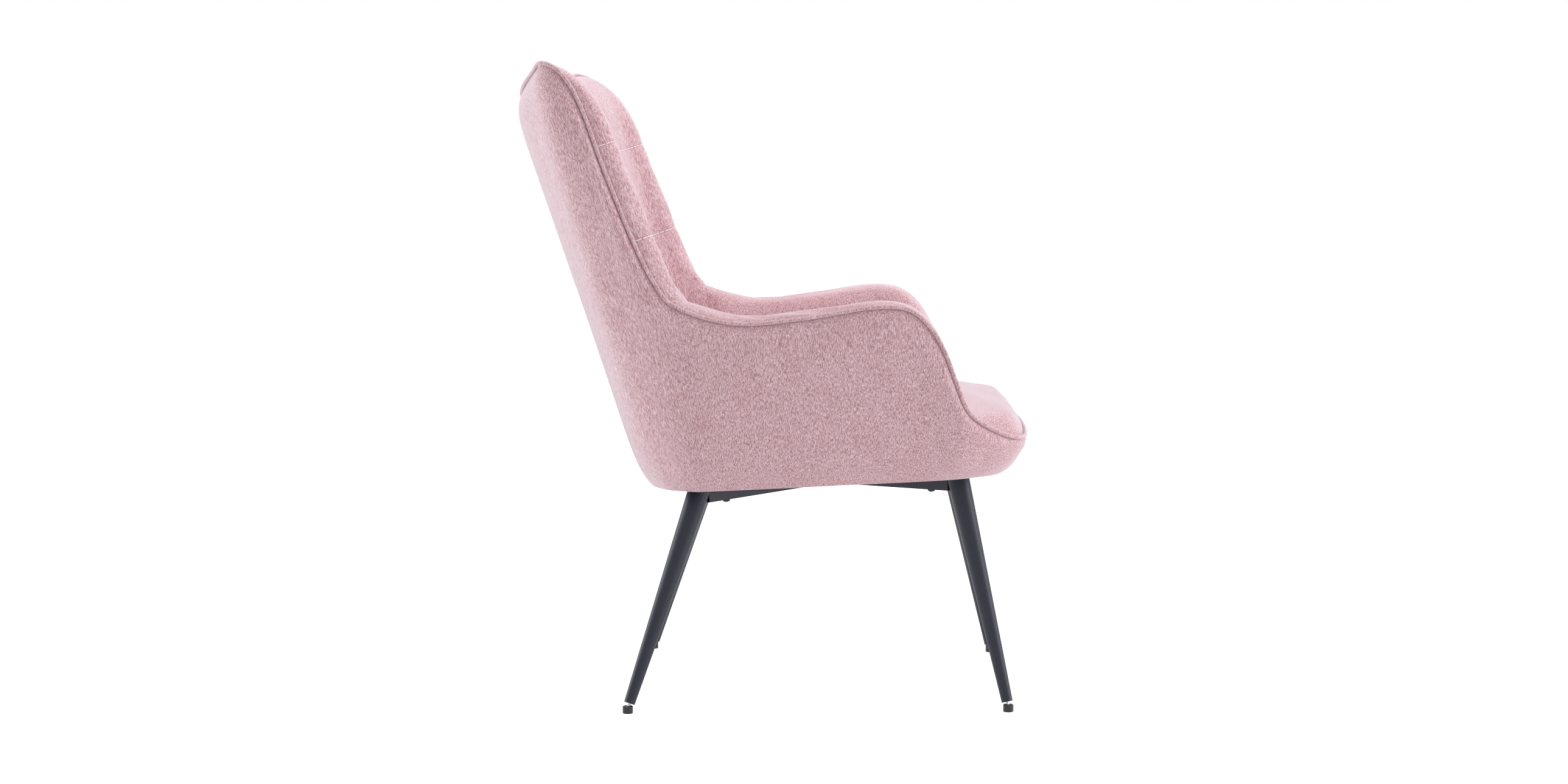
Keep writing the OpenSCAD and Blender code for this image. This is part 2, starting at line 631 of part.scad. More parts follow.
module cross_bar_long() {
    color(STEEL_BLACK) placed() difference() {
        on_rim() difference() {
            long_bar(0);
            bar_box(bar_end(1, -1), bar_end(-1, 1), -5, -5, bar_wall);
            bolt_holes();
        }
        leg_cone(1, -1, WELD_GAP, 0);
        leg_cone(-1, 1, WELD_GAP, 0);
    }
}
module short_bar(side, end) {
    p = bar_end(side, end);
    q = bar_end(-side, -end);
    half = (norm(q - p) - bar_w) / 2;
    color(STEEL_BLACK) placed() difference() {
        on_rim() difference() {
            bar_box(p, q, bar_start, norm(q - p) / 2, 0);
            bar_box(p, q, -5, norm(q - p) / 2 - bar_wall, bar_wall);
            long_bar(-WELD_GAP);
            bolt_holes();
        }
        leg_cone(side, end, WELD_GAP, 0);
    }
}
module cross_bar_short_front() short_bar(-1, -1);
module cross_bar_short_rear() short_bar(1, 1);

// ---- fasteners of the underframe ----

washer_t = 1.2;
bolt_head_h = 3.8;
nut_r = 3.9;
nut_len = 9;
nut_flange_r = 9.5;
nut_flange_t = 1.5;
module at_bolts() for (side = [-1, 1]) for (end = [-1, 1]) {
    p = bar_end(side, end);
    translate(p) rotate(heading(p, bar_end(-side, -end))) translate([bolt_from_leg, 0, 0])
        children();
}
module frame_washers() {
    color(STEEL_BLACK) placed() on_rim() at_bolts()
        translate([0, 0, frame_top - bar_h - WELD_GAP - washer_t]) difference() {
            cylinder(r = washer_r, h = washer_t);
            translate([0, 0, -1]) cylinder(r = bolt_r + 0.2, h = washer_t + 2);
        }
}
module frame_bolts() {
    under = frame_top - bar_h - 2 * WELD_GAP - washer_t;
    color(STEEL_BLACK) placed() on_rim() at_bolts() translate([0, 0, under]) difference() {
        union() {
            cylinder(r = bolt_r, h = board_top - 2 - under);
            rotate_extrude() polygon([[0, 0], [bolt_head_r, 0], [bolt_head_r, -1],
                [0.85 * bolt_head_r, -2.6], [0.55 * bolt_head_r, -bolt_head_h], [0, -bolt_head_h]]);
        }
        translate([0, 0, -bolt_head_h - 1]) cylinder(r = 0.38 * bolt_head_r, h = 3.2, $fn = 6);
    }
}
module tee_nuts() {
    color(ZINC) placed() on_rim() at_bolts() translate([0, 0, board_top]) difference() {
        union() {
            translate([0, 0, -nut_len]) cylinder(r = nut_r, h = nut_len - 0.05);
            translate([0, 0, -nut_flange_t - 0.05]) cylinder(r = nut_flange_r, h = nut_flange_t);
        }
        translate([0, 0, -nut_len - 1]) cylinder(r = bolt_r + 0.05, h = nut_len + 2);
    }
}

// ---- glides ----

plug_len = 24;
module leg_plug(side, end) {
    e = end_at(side, end);
    grow = (leg_r_top - leg_r_low) / (leg_run(side, end) - e);
    r = leg_r_low - leg_wall - WELD_GAP;
    on_leg(side, end) translate([0, 0, e]) difference() {
        cylinder(r1 = r, r2 = r + grow * plug_len, h = plug_len);
        translate([0, 0, -1]) cylinder(r = stud_r + BALL_FIT, h = plug_len + 2);
    }
}
module leg_plugs() {
    color(PLASTIC) placed() for (side = [-1, 1]) for (end = [-1, 1]) leg_plug(side, end);
}
module glide_stud(side, end) {
    e = end_at(side, end);
    color(ZINC) placed() on_leg(side, end) {
        sphere(r = ball_r);
        cylinder(r = neck_r, h = e + 1);
        translate([0, 0, e + 0.4]) cylinder(r = stud_r, h = stud_len);
    }
}
module glide_pad(side, end) {
    mouth = 1.74;
    color(PLASTIC) placed() translate([foot(side, end).x, foot(side, end).y, 0]) difference() {
        rotate_extrude() polygon([[0, 0], [pad_r - 1.4, 0], [pad_r - 0.4, 0.5], [pad_r, 1.6],
            [pad_r, pad_h - 0.8], [pad_r - 0.8, pad_h], [0, pad_h]]);
        translate([0, 0, ball_z]) sphere(r = ball_r + BALL_FIT);
        translate([0, 0, ball_z + mouth]) cylinder(r1 = 3.6, r2 = 4.7 + 0.31,
            h = pad_top_over_ball - mouth + 0.5);
    }
}
module glide_stud_front_left() glide_stud(1, -1);
module glide_stud_front_right() glide_stud(-1, -1);
module glide_stud_rear_left() glide_stud(1, 1);
module glide_stud_rear_right() glide_stud(-1, 1);
module glide_pad_front_left() glide_pad(1, -1);
module glide_pad_front_right() glide_pad(-1, -1);
module glide_pad_rear_left() glide_pad(1, 1);
module glide_pad_rear_right() glide_pad(-1, 1);

leg_front_left();
leg_front_right();
leg_rear_left();
leg_rear_right();
cross_bar_long();
cross_bar_short_front();
cross_bar_short_rear();
leg_plugs();
glide_stud_front_left();
glide_stud_front_right();
glide_stud_rear_left();
glide_stud_rear_right();
glide_pad_front_left();
glide_pad_front_right();
glide_pad_rear_left();
glide_pad_rear_right();
frame_bolts();
frame_washers();
tee_nuts();
dust_cover();
seat_board();
back_frame_tube();
arm_frame_tube_left();
arm_frame_tube_right();
frame_tabs();
tab_screws();
back_support_sheet();
seat_foam();
back_foam();
arm_foam_left();
arm_foam_right();
seat_cover();
back_cover_inner();
arm_cover_left();
arm_cover_right();
back_cover_outer();
side_cover_outer();
welt_back();
welt_front();
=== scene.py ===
import math

import bmesh
import bpy
import numpy as np
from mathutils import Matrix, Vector
from mathutils.kdtree import KDTree


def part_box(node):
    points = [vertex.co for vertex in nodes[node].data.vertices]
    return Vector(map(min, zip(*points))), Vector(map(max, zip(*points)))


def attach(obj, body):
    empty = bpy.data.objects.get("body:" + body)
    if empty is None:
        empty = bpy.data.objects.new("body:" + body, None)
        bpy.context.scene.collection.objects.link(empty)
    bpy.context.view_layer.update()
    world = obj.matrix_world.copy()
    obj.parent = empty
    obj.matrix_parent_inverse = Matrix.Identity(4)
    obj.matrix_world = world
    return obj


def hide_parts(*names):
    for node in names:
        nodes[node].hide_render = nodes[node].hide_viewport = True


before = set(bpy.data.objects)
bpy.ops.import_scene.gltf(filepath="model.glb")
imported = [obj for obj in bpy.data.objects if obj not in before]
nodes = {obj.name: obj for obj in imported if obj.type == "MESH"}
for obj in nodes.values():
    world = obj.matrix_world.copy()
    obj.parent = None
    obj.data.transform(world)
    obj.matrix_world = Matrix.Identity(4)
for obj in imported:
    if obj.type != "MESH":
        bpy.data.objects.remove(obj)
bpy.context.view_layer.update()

scene = bpy.context.scene
scene.view_settings.view_transform = "Standard"

# ---- Camera, floor and light ----
# The chair stands on a plain white floor and is seen from its right side, a
# little from above, through a long lens. Two tall soft lamps stand before and
# behind it and a wide one hangs over it.

pads = [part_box(name) for name in nodes if name.startswith("glide_pad")]
feet_y = (min(low.y for low, high in pads) + max(high.y for low, high in pads)) / 2

camera = bpy.data.objects.new("camera", bpy.data.cameras.new("camera"))
scene.collection.objects.link(camera)
scene.camera = camera
camera.data.sensor_width = 36
camera.data.lens = 66.11
camera.data.clip_end = 60
# it stands about 4.5 m from the chair's middle; its turn left and its fall are in radians
camera.location = (-4.46, feet_y - 0.037, 0.7955)
yaw, pitch = 0.0209, 0.0771
looking = Vector((math.cos(yaw) * math.cos(pitch), math.sin(yaw) * math.cos(pitch),
                  -math.sin(pitch)))
camera.rotation_euler = looking.to_track_quat("-Z", "Y").to_euler()


def linear(code):
    """An sRGB hex colour as linear light."""
    shares = [int(code[i:i + 2], 16) / 255 for i in (1, 3, 5)]
    shares = [c / 12.92 if c <= 0.04045 else ((c + 0.055) / 1.055) ** 2.4 for c in shares]
    return (*shares, 1.0)


def add(tree, kind, inputs=None, **settings):
    """A node of one kind with its settings; an input that is a socket is linked."""
    made = tree.nodes.new(kind)
    for name, value in settings.items():
        setattr(made, name, value)
    for name, value in (inputs or {}).items():
        socket = made.inputs[name]
        if isinstance(value, bpy.types.NodeSocket):
            tree.links.new(value, socket)
        else:
            socket.default_value = value
    return made


def material(name):
    """An empty node material and its tree."""
    made = bpy.data.materials.new(name)
    made.use_nodes = True
    made.node_tree.nodes.clear()
    return made, made.node_tree


def seen_directly(tree):
    """Is 1 where the camera sees a surface straight, in a reflection or through glass."""
    rays = add(tree, "ShaderNodeLightPath").outputs
    direct = add(tree, "ShaderNodeMath", {0: rays["Is Camera Ray"], 1: rays["Is Glossy Ray"]},
                 operation="MAXIMUM").outputs[0]
    return add(tree, "ShaderNodeMath", {0: direct, 1: rays["Is Transmission Ray"]},
               operation="MAXIMUM").outputs[0]


def lamp(name, place, aim, width, height, watts, colour="#ffffff"):
    """A soft rectangular lamp that faces a point."""
    light = bpy.data.lights.new(name, "AREA")
    light.shape = "RECTANGLE"
    light.size, light.size_y = width, height
    light.energy = watts
    light.color = linear(colour)[:3]
    made = bpy.data.objects.new(name, light)
    scene.collection.objects.link(made)
    made.location = place
    made.rotation_euler = (Vector(aim) - Vector(place)).to_track_quat("-Z", "Y").to_euler()


lamp("lamp_behind", (0.6, 2.8, 1.2), (0, 0.1, 0.6), 1.4, 2.2, 43, "#f3f7fb")
lamp("lamp_before", (-0.5, -2.8, 0.9), (0, -0.1, 0.5), 1.6, 1.8, 36, "#f8f9fc")
lamp("lamp_over", (0.2, -0.2, 2.9), (0, 0, 0.5), 2.6, 2.6, 37)

world = bpy.data.worlds.new("studio")
scene.world = world
world.use_nodes = True
world.node_tree.nodes.clear()
tree = world.node_tree
soft = add(tree, "ShaderNodeBackground", {"Color": linear("#ffffff"), "Strength": 0.77})
plain = add(tree, "ShaderNodeBackground", {"Color": linear("#ffffff"), "Strength": 1.0})
both = add(tree, "ShaderNodeMixShader",
           {0: seen_directly(tree), 1: soft.outputs[0], 2: plain.outputs[0]})
add(tree, "ShaderNodeOutputWorld", {"Surface": both.outputs[0]})

floor_mesh = bpy.data.meshes.new("floor")
bm = bmesh.new()
bmesh.ops.create_grid(bm, x_segments=4, y_segments=4, size=15)
bm.to_mesh(floor_mesh)
bm.free()
floor = bpy.data.objects.new("floor", floor_mesh)
scene.collection.objects.link(floor)
floor_white, tree = material("matt_white_floor")
# white all over where the camera sees it, but for the object's shadow round its feet
place = add(tree, "ShaderNodeTexCoord")
far = add(tree, "ShaderNodeVectorMath", {0: place.outputs["Object"]}, operation="LENGTH")
far = add(tree, "ShaderNodeMapRange",
          {"Value": far.outputs["Value"], "From Min": 0.8, "From Max": 3.5, "To Min": 0.5,
           "To Max": 1.0}, interpolation_type="SMOOTHSTEP")
glow = add(tree, "ShaderNodeEmission", {"Color": linear("#ffffff"), "Strength": far.outputs[0]})
paint = add(tree, "ShaderNodeBsdfDiffuse", {"Color": linear("#f0f0f0")})
lit = add(tree, "ShaderNodeAddShader", {0: paint.outputs[0], 1: glow.outputs[0]})
both = add(tree, "ShaderNodeMixShader",
           {0: seen_directly(tree), 1: paint.outputs[0], 2: lit.outputs[0]})
add(tree, "ShaderNodeOutputMaterial", {"Surface": both.outputs[0]})
floor_mesh.materials.append(floor_white)


# ---- Frame bars, tabs, screws, tee nuts and support sheet ----
# Bars of bent steel tube, painted black, stand on zinc-plated tabs that are
# screwed to the plywood seat board; a black sheet backs the back's foam.

def finish_node(names, finish):
    """Gives CAD nodes that stay as they are their real finish."""
    for name in names:
        for slot in nodes[name].material_slots:
            slot.link = "OBJECT"
            slot.material = finish


def object_millimetres(tree, size):
    """Object coordinates in units of a real size in millimetres, one for each axis."""
    place = add(tree, "ShaderNodeTexCoord")
    return add(tree, "ShaderNodeMapping", {"Vector": place.outputs["Object"],
               "Scale": tuple(1000 / s for s in size)}).outputs[0]


def grained(tree, size, detail, dark, pale):
    """Cloudy grain of a real size in millimetres, and the colour that it mixes from two tones."""
    place = object_millimetres(tree, size)
    grain = add(tree, "ShaderNodeTexNoise", {"Vector": place, "Scale": 1.0, "Detail": detail})
    mixed = add(tree, "ShaderNodeMixRGB",
                {"Fac": grain.outputs[0], "Color1": linear(dark), "Color2": linear(pale)})
    return grain.outputs[0], mixed.outputs[0]


def shaded(tree, colour, roughness, relief=None, strength=0.0, depth=0.0, **constants):
    """Ends a material: one plain shader, with a shallow relief in metres where there is one."""
    values = {"Base Color": colour, "Roughness": roughness}
    if relief is not None:
        bump = add(tree, "ShaderNodeBump",
                   {"Height": relief, "Strength": strength, "Distance": depth})
        values["Normal"] = bump.outputs[0]
    values.update(constants)
    shader = add(tree, "ShaderNodeBsdfPrincipled", values)
    add(tree, "ShaderNodeOutputMaterial", {"Surface": shader.outputs[0]})


# tube paint: semi-matt black lacquer, an even dark skin with a faint orange peel
tube_paint, tree = material("black_lacquered_steel")
peel, colour = grained(tree, (2, 2, 2), 2.0, "#26262a", "#303036")
shaded(tree, colour, 0.45, peel, 0.15, 0.0002)
finish_node(["back_frame_tube", "arm_frame_tube_left", "arm_frame_tube_right"], tube_paint)

# zinc plating: pale blue-grey metal, softly mottled by its crystals
zinc, tree = material("zinc_plated_steel")
bloom, colour = grained(tree, (1.5, 1.5, 1.5), 4.0, "#a9adb2", "#c9ccd0")
rough = add(tree, "ShaderNodeMapRange", {"Value": bloom, "To Min": 0.28, "To Max": 0.45})
shaded(tree, colour, rough.outputs[0], Metallic=1.0)
finish_node(["frame_tabs", "tab_screws", "tee_nuts"]
            + [n for n in nodes if n.startswith("glide_stud")], zinc)

# spun-bonded cloth: thin black fibres pressed together, dull with small dimples
lining, tree = material("black_spunbond_cloth")
dimple = add(tree, "ShaderNodeTexVoronoi",
             {"Vector": object_millimetres(tree, (1.6, 1.6, 1.6)), "Scale": 1.0})
_, colour = grained(tree, (0.9, 0.9, 0.9), 3.0, "#1c1c1f", "#303035")
shaded(tree, colour, 0.85, dimple.outputs[0], 0.5, 0.0003)
finish_node(["back_support_sheet", "dust_cover"], lining)


# ---- Seat board ----
# A flat board of birch plywood under the whole seat. Its faces show long pale
# grain, and everything is screwed or stapled to it.

ply, tree = material("birch_plywood")
grain, colour = grained(tree, (6, 90, 2), 5.0, "#b3906a", "#d9bd95")
shaded(tree, colour, 0.6, grain, 0.2, 0.0002)
finish_node(["seat_board"], ply)


# ---- Outer back cover ----
# The back's outer cover is cut from woven pink cloth and stretched over thin
# padding, from the welt down to the board, where it turns under and is stapled.

# The shell's two lines run round its left half, in millimetres from the feet's
# middle: the rim, where the outer covers end under the board, and the edge,
# where the welt lies. Their knots are 0 at the middle of the back, SEAM at the
# side seam, ARM_END at the foot of the arm's front and LAST at the middle of
# the seat's front.
LAST, SEAM, ARM_END = 22, 9, 17
RIM_X, RIM_REAR, RIM_FRONT, RIM_Z, RIM_RAKE = 291, 261, 286, 335, math.radians(2.9)
ARM_X = 335


def wing(fy, fz, x):
    """A knot between the wing's foot and the back's top corner, by its shares of the way."""
    return [x, 205 + 195 * fy, 594 + 352 * fz]


def slope(fy, fz, x):
    """A knot on the arm's front, by its shares of the way down to the seat's edge."""
    return [x, -122 - 176 * fy, 594 - 191 * fz]


EDGE = np.array([
    [0, 456, 904], [151.05, 440.88, 914.92], [239.4, 416.24, 935.08], [285, 400, 946],
    wing(0.856, 0.957, 298), wing(0.718, 0.827, 302), wing(0.549, 0.571, 305),
    wing(0.333, 0.276, 309), wing(0.164, 0.094, 314), [317, 205, 594], [324, 120, 571],
    [330, 20, 579], [ARM_X, -70, 594], [ARM_X, -122, 594], slope(0.170, 0.100, 334),
    slope(0.312, 0.298, 331), slope(0.426, 0.571, 326), slope(0.517, 0.770, 321),
    slope(0.659, 0.885, 308), slope(0.864, 0.979, 288), [258, -298, 403], [150.75, -307, 403],
    [0, -310, 403]], float)
rim_x = RIM_X * np.array([0, .38, .62, .76, .84, .89, .93, .955, .972, .985, .997, 1, 1, 1, .997,
                          .993, .985, .972, .945, .885, .78, .45, 0])
rear_shares = (1, .985, .946, .889, .843, .797, .751, .713, .682, .651, .364, .019)
front_shares = (.28, .437, .517, .587, .65, .71, .769, .871, .934, .983, 1)
rim_y = np.array([RIM_REAR * s for s in rear_shares] + [-RIM_FRONT * s for s in front_shares])
RIM = np.stack([rim_x, rim_y, RIM_Z - rim_y * math.tan(RIM_RAKE)], 1)


def unit(v):
    """Vectors of length 1."""
    return v / np.linalg.norm(v, axis=-1, keepdims=True)


def along(knots, u):
    """A smooth line through the knots, mirrored past both of its ends."""
    flip = np.array([-1, 1, 1])
    line = np.vstack([knots[2] * flip, knots[1] * flip, knots, knots[-2] * flip, knots[-3] * flip])
    i = np.clip(np.floor(u).astype(int), -1, LAST - 1)
    t = (u - i)[..., None]
    a, b, c, d = (line[i + k] for k in (1, 2, 3, 4))
    return 0.5 * (2 * b + (c - a) * t + (2 * a - 5 * b + 4 * c - d) * t ** 2
                  + (3 * b - a - 3 * c + d) * t ** 3)


def outward(u):
    """The level direction out of the wall, square to its run."""
    def half_way_up(w):
        return (along(RIM, w) + along(EDGE, w)) / 2

    t = half_way_up(u + 0.2) - half_way_up(u - 0.2)
    return unit(np.stack([-t[..., 1], t[..., 0], 0 * t[..., 0]], -1))


def inward(u):
    """The direction into the wall, averaged over the next knots so that it turns gently."""
    return -unit(outward(np.maximum(u - 1, 0)) + 2 * outward(u) + outward(np.minimum(u + 1, LAST)))


def past_edge(u):
    """The direction in which the wall would go on past its edge."""
    run = unit(along(EDGE, np.minimum(u + 0.1, LAST)) - along(EDGE, np.maximum(u - 0.1, 0)))
    return unit(np.cross(run, outward(u)))


def folded(u):
    """The knot number on the left half for one that runs on round the right half."""
    return np.where(u > LAST, 2 * LAST - u, np.abs(u))


def mirrored(points, u):
    """The right half of the shell is the left half turned over."""
    side = np.where((u < 0) | (u > LAST), -1.0, 1.0)
    return points * np.stack([side, np.ones_like(side), np.ones_like(side)], -1)


def table(u, pairs):
    """Values given at some knots, on straight lines between them."""
    return np.interp(u, [p[0] for p in pairs], [p[1] for p in pairs])


def soft_table(u, pairs):
    """The table's values with their corners rounded over about one knot."""
    return sum(table(u + k, pairs) for k in np.linspace(-0.6, 0.6, 9)) / 9


def depth_way(u, d):
    """A step of d millimetres into the wall, or out of it where d is negative."""
    d = np.broadcast_to(np.asarray(d, float), u.shape)
    return np.where((d > 0)[..., None], inward(u), -outward(u)) * d[..., None]


def inside(u, v, d):
    """A point of the wall: v from the rim at 0 to the edge at 1, d inward, all in millimetres."""
    f = folded(u)
    v = np.broadcast_to(np.asarray(v, float), f.shape)[..., None]
    rim, edge = along(RIM, f), along(EDGE, f)
    return mirrored(rim + (edge - rim) * v + depth_way(f, d), u)


def past(u, c, d, drop=0.0):
    """A point past the edge by c, d inward, then let down the wall by drop."""
    f = folded(u)
    c = np.broadcast_to(np.asarray(c, float), f.shape)[..., None]
    drop = np.broadcast_to(np.asarray(drop, float), f.shape)[..., None]
    down = unit(along(EDGE, f) - along(RIM, f))
    return mirrored(along(EDGE, f) + past_edge(f) * c + depth_way(f, d) - down * drop, u)


def skin(u, v):
    """The outer covers: they stand out between the rim and the edge."""
    f = folded(u)
    # how far they stand out, how flat they are there, and how much less they do so low down
    bulge = table(f, [(0, 20), (3, 20), (SEAM, 13), (ARM_END, 13), (LAST, 7)])
    full = table(f, [(0, 16), (4, 12), (SEAM, 6), (16, 5), (19, 4), (LAST, 4)])
    sag = table(f, [(0, 0.62), (SEAM, 0.9), (LAST, 1)])
    out = bulge * (sag + (1 - sag) * v) * (1 - np.abs(2 * v - 1) ** full)
    return inside(u, v, -out)


def knots_by_length(u0, u1, deep=None):
    """Turns a share of the way along the wall into a knot number."""
    u = np.linspace(u0, u1, 1801)
    d = 0.0 if deep is None else deep(folded(u))
    steps = sum(np.linalg.norm(np.diff(inside(u, v, d), axis=0), axis=1) for v in (0.0, 0.5, 1.0))
    way = np.concatenate([[0], np.cumsum(steps)])
    return lambda a: np.interp(a, way / way[-1], u)


def upholstery(columns, rows, place, smooth=2, heart=None, faces_heart=False, level=True):
    """A sheet of squares laid on the shell. Its map holds lengths of cloth in metres.

    Where level is true the threads stand upright and are measured from the sheet's lower end.
    The faces look away from the heart, a point in metres, or toward it.
    """
    bm = bmesh.new()
    weave = bm.loops.layers.uv.new("weave")
    bmesh.ops.create_grid(bm, x_segments=columns, y_segments=rows, size=0.5)
    flat = np.array([v.co for v in bm.verts])
    a, b = flat[:, 0] + 0.5, flat[:, 1] + 0.5
    across, up = np.unique(a.round(5)), np.unique(b.round(5))
    grid_a, grid_b = np.meshgrid(across, up)
    points = place(grid_a, grid_b) / 1000 + np.array([0, feet_y, 0])
    rise = np.zeros(grid_a.shape)
    rise[1:] = np.cumsum(np.linalg.norm(np.diff(points, axis=0), axis=2), axis=0)
    if level:
        steps = np.linalg.norm(np.diff(points[..., :2], axis=1), axis=2).mean(axis=0)
        run = np.broadcast_to(np.concatenate([[0], np.cumsum(steps)]), grid_a.shape)
        if points[0, :, 2].mean() > points[-1, :, 2].mean():
            rise -= rise[-1]
    else:
        run = np.zeros(grid_a.shape)
        run[:, 1:] = np.cumsum(np.linalg.norm(np.diff(points, axis=1), axis=2), axis=1)
        run -= run[:, [len(across) // 2]]
    j = np.searchsorted(across, a.round(5) - 1e-6)
    i = np.searchsorted(up, b.round(5) - 1e-6)
    for vert, p in zip(bm.verts, points[i, j]):
        vert.co = p
    cloth = np.stack([run[i, j], rise[i, j]], 1)
    for face in bm.faces:
        for loop in face.loops:
            loop[weave].uv = cloth[loop.vert.index]
    for _ in range(smooth):
        bmesh.ops.smooth_vert(bm, verts=[v for v in bm.verts if not v.is_boundary], factor=0.5,
                              use_axis_x=True, use_axis_y=True, use_axis_z=True)
    bm.normal_update()
    if heart is not None:
        away = sum(f.normal.dot(f.calc_center_median() - Vector(heart)) for f in bm.faces)
        if (away < 0) != faces_heart:
            bmesh.ops.reverse_faces(bm, faces=bm.faces)
            bm.normal_update()
    return bm


def piece(name, bm, finish):
    """A finished mesh as an upholstered piece, with smooth faces and one material."""
    mesh = bpy.data.meshes.new(name)
    bm.to_mesh(mesh)
    bm.free()
    mesh.polygons.foreach_set("use_smooth", [True] * len(mesh.polygons))
    mesh.materials.append(finish)
    made = bpy.data.objects.new(name, mesh)
    scene.collection.objects.link(made)
    return made


def woven_cloth(name, lean=0.0, seam_paint=None):
    """Woven polyester with a melange yarn: light and dark pink threads, matt, with a soft bloom.

    The warp stands upright, or leans back by an angle, and shows as fine streaks.
    """
    made, tree = material(name)
    place = add(tree, "ShaderNodeTexCoord").outputs["Object"]

    def threads(across, up):
        """Cloudy flecks with a real width and height in millimetres."""
        laid = add(tree, "ShaderNodeMapping", {"Vector": place, "Rotation": (-lean, 0, 0),
                   "Scale": (across / 1000, across / 1000, up / 1000)}, vector_type="TEXTURE")
        return add(tree, "ShaderNodeTexNoise",
                   {"Vector": laid.outputs[0], "Scale": 1.0, "Detail": 2.0}).outputs[0]

    # warp threads, weft threads, flecks of the melange and broad clouds, each with its share
    total = 0.0
    for across, up, part in ((0.9, 7.0, 0.55), (1.8, 1.0, 0.15), (1.1, 2.2, 0.3), (40, 60, 0.04)):
        total = add(tree, "ShaderNodeMath", {0: threads(across, up), 1: part, 2: total},
                    operation="MULTIPLY_ADD").outputs[0]
    tone = add(tree, "ShaderNodeValToRGB", {"Fac": total})
    ramp = tone.color_ramp.elements
    ramp[0].position, ramp[0].color = 0.33, linear("#845b59")
    ramp[1].position, ramp[1].color = 0.74, linear("#f4e3ea")
    for spot, code in ((0.44, "#ad8286"), (0.52, "#c9a3a9"), (0.60, "#ddc2c9")):
        ramp.new(spot).color = linear(code)
    colour = tone.outputs[0]
    # where given, painted shade and pale stitch dashes with a painted edge highlight are laid along
    # the sewn lines
    if seam_paint is not None:
        colour = seam_paint(tree, colour)
    # the knuckles where threads cross, one in each millimetre of the sheet's own map
    lay = add(tree, "ShaderNodeUVMap", uv_map="weave").outputs[0]
    thread = add(tree, "ShaderNodeMapping",
                 {"Vector": lay, "Scale": (1000 * math.pi, 1000 * math.pi, 1)})
    split = add(tree, "ShaderNodeSeparateXYZ", {"Vector": thread.outputs[0]})
    over = add(tree, "ShaderNodeMath", {0: split.outputs[0]}, operation="SINE")
    under = add(tree, "ShaderNodeMath", {0: split.outputs[1]}, operation="SINE")
    knuckle = add(tree, "ShaderNodeMath", {0: over.outputs[0], 1: under.outputs[0]},
                  operation="MULTIPLY")
    knuckle = add(tree, "ShaderNodeMath", {0: knuckle.outputs[0]}, operation="ABSOLUTE")
    height = add(tree, "ShaderNodeMath", {0: total, 1: 0.8, 2: knuckle.outputs[0]},
                 operation="MULTIPLY_ADD")
    shaded(tree, colour, 0.95, height.outputs[0], 0.4, 0.0002, **{
        "Specular IOR Level": 0.2, "Sheen Weight": 0.9, "Sheen Roughness": 0.4,
        "Sheen Tint": linear("#f6f5fb")})
    return made


# the back leans back by this angle, and its threads with it
BACK_LEAN = math.radians(18.9)
pink_cloth = woven_cloth("woven_melange_polyester")
pink_cloth_back = woven_cloth("woven_melange_polyester_back", BACK_LEAN)
# rows of the outer covers: -1 to 0 under the board, 0 to 1 up the wall, 1 to 2 under the welt
OUTER_ROWS = [-1, -0.5, -0.2, 0, 0.008, 0.02, 0.04, 0.07, 0.11, *np.linspace(0.16, 0.86, 34),
              0.9, 0.93, 0.955, 0.975, 0.99, 1, 1.4, 2]


def groove(u, seam, deep, wide):
    """How far cloth is pulled in at a seam, in millimetres; one knot is about 60 of them."""
    return deep * np.exp(-(np.abs(u - seam) * 60 / wide) ** 1.5)


def puckers(u, t):
    """Short soft folds that gather where the side seam is pulled under the board."""
    off = inside(u, 0.06, 0)[..., 1] - inside(SEAM + 0 * u, 0.06, 0)[..., 1]
    folds = 1.8 * np.exp(-(off / 34) ** 2) * np.cos(2 * np.pi * off / 26)
    return folds * np.clip(t / 0.03, 0, 1) * np.exp(-t * 10)


# in millimetres: how far the hem runs in under the board, and how far the
# cover's end tucks up and in under the welt
HEM, TUCK_UP, TUCK_IN = 14, 1.5, 2.2


def outer_wall(u, b):
    """The outer cover from its stapled hem, at 0, to under the welt, at 1."""
    t = np.interp(b, np.linspace(0, 1, len(OUTER_ROWS)), OUTER_ROWS)
    hem = inside(u, 0 * u, np.clip(-t, 0, 1) * HEM + 0.01)
    wall = skin(u, np.clip(t, 0, 1))
    wall = wall + mirrored(outward(folded(u)), u) * puckers(u, np.clip(t, 0, 1))[..., None]
    tuck = past(u, np.clip(t - 1, 0, 1) * TUCK_UP, np.clip(t - 1, 0, 1) * TUCK_IN + 0.01)
    return np.where((t < 0)[..., None], hem, np.where((t > 1)[..., None], tuck, wall))


def seamed(to_knot):
    """The outer cover between two side seams, where it is pulled in."""
    def place(a, b):
        u = to_knot(a)
        f = folded(u)
        return outer_wall(u, b) + mirrored(inward(f), u) * groove(f, SEAM, 1.6, 4)[..., None]
    return place


HEART = (0, 0, 0.5)
bm = upholstery(150, 100, seamed(knots_by_length(-SEAM, SEAM)), heart=HEART)
back_panel = piece("back_panel", bm, pink_cloth_back)
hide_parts("back_cover_outer")
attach(back_panel, "chair")


# ---- Outer side and front cover ----
# One long strip of the same cloth runs round the arms and under the seat's
# front, from one side seam to the other.

bm = upholstery(330, 90, seamed(knots_by_length(SEAM, 2 * LAST - SEAM)), heart=HEART)
side_panel = piece("side_panel", bm, pink_cloth)
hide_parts("side_cover_outer")
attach(side_panel, "chair")


# ---- Inner back ----
# The back's inner cover lies over thick foam and is sewn down in lines across
# and up it, so that the foam swells into rows of soft panels.

def wall_of(u):
    """Thickness of the padded wall."""
    return soft_table(u, [(0, 72), (1.2, 72), (3, 58), (4, 52), (5.5, 48), (7.5, 48), (SEAM, 57),
                          (LAST, 57)])


